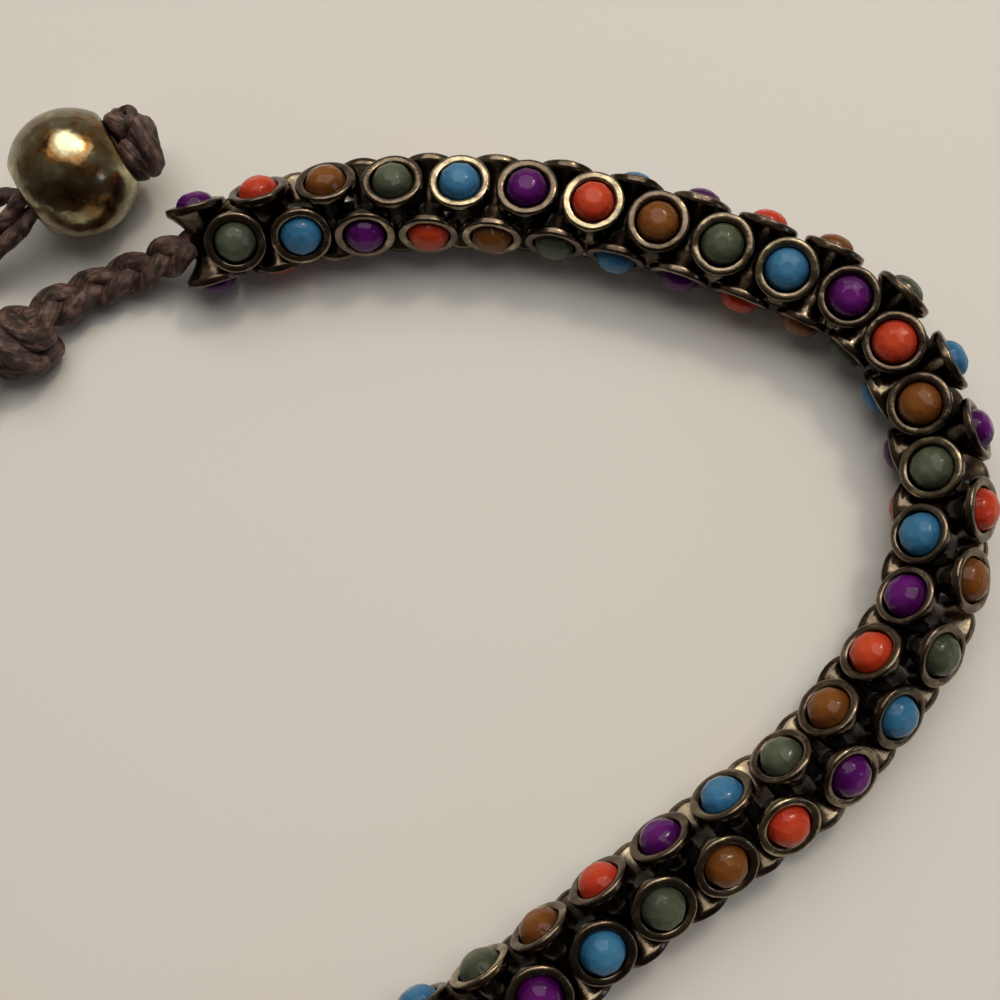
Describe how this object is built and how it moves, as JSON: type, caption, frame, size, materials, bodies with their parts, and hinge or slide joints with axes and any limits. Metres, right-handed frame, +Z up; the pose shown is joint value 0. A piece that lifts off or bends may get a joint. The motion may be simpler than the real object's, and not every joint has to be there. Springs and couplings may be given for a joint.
{
  "type": "beaded cord bracelet",
  "caption": "Open bracelet of crossed double-cup brass beads set with coloured faceted stones on waxed cord, with plaited tails, a loop and a ball button.",
  "frame": {"origin": "on the table, under the middle of the bracelet's outline", "axes": "+X to the picture's right and along the bracelet's length, +Y to the picture's top, +Z up from the table"},
  "size_m": [0.0802, 0.071, 0.0088],
  "materials": {
    "antique_brass": "cast, darkened and worn bright on the lips",
    "polished_brass": "polished, with blotches of age",
    "waxed_cord": "waxed cotton, matt with a faint sheen",
    "violet_stone": "opaque faceted resin, glossy",
    "olive_stone": "opaque faceted resin, glossy",
    "coral_stone": "opaque faceted resin, glossy",
    "blue_stone": "opaque faceted resin, glossy",
    "caramel_stone": "opaque faceted resin, glossy"
  },
  "bodies": {
    "root": {"spool_00": "antique_brass", "spool_01": "antique_brass", "spool_02": "antique_brass", "spool_03": "antique_brass", "spool_04": "antique_brass", "spool_05": "antique_brass", "spool_06": "antique_brass", "spool_07": "antique_brass", "spool_08": "antique_brass", "spool_09": "antique_brass", "spool_10": "antique_brass", "spool_11": "antique_brass", "spool_12": "antique_brass", "spool_13": "antique_brass", "spool_14": "antique_brass", "spool_15": "antique_brass", "spool_16": "antique_brass", "spool_17": "antique_brass", "spool_18": "antique_brass", "spool_19": "antique_brass", "spool_20": "antique_brass", "spool_21": "antique_brass", "spool_22": "antique_brass", "spool_23": "antique_brass", "spool_24": "antique_brass", "spool_25": "antique_brass", "spool_26": "antique_brass", "spool_27": "antique_brass", "spool_28": "antique_brass", "spool_29": "antique_brass", "spool_30": "antique_brass", "spool_31": "antique_brass", "spool_32": "antique_brass", "spool_33": "antique_brass", "spool_34": "antique_brass", "spool_35": "antique_brass", "spool_36": "antique_brass", "spool_37": "antique_brass", "spool_38": "antique_brass", "spool_39": "antique_brass", "spools_40_to_48": "antique_brass", "spools_49_to_57": "antique_brass", "spools_58_to_66": "antique_brass", "spools_67_to_74": "antique_brass", "stones_violet": "violet_stone", "stones_olive": "olive_stone", "stones_coral": "coral_stone", "stones_blue": "blue_stone", "stones_caramel": "caramel_stone", "stringing_cord": "waxed_cord", "loop_plait": "waxed_cord", "loop_knot": "waxed_cord", "loop_cord": "waxed_cord", "button_plait": "waxed_cord", "button_knot": "waxed_cord", "button_strand_a": "waxed_cord", "button_strand_b": "waxed_cord", "button_strand_c": "waxed_cord", "end_knot": "waxed_cord", "ball_button": "polished_brass"}
  },
  "joints": []
}
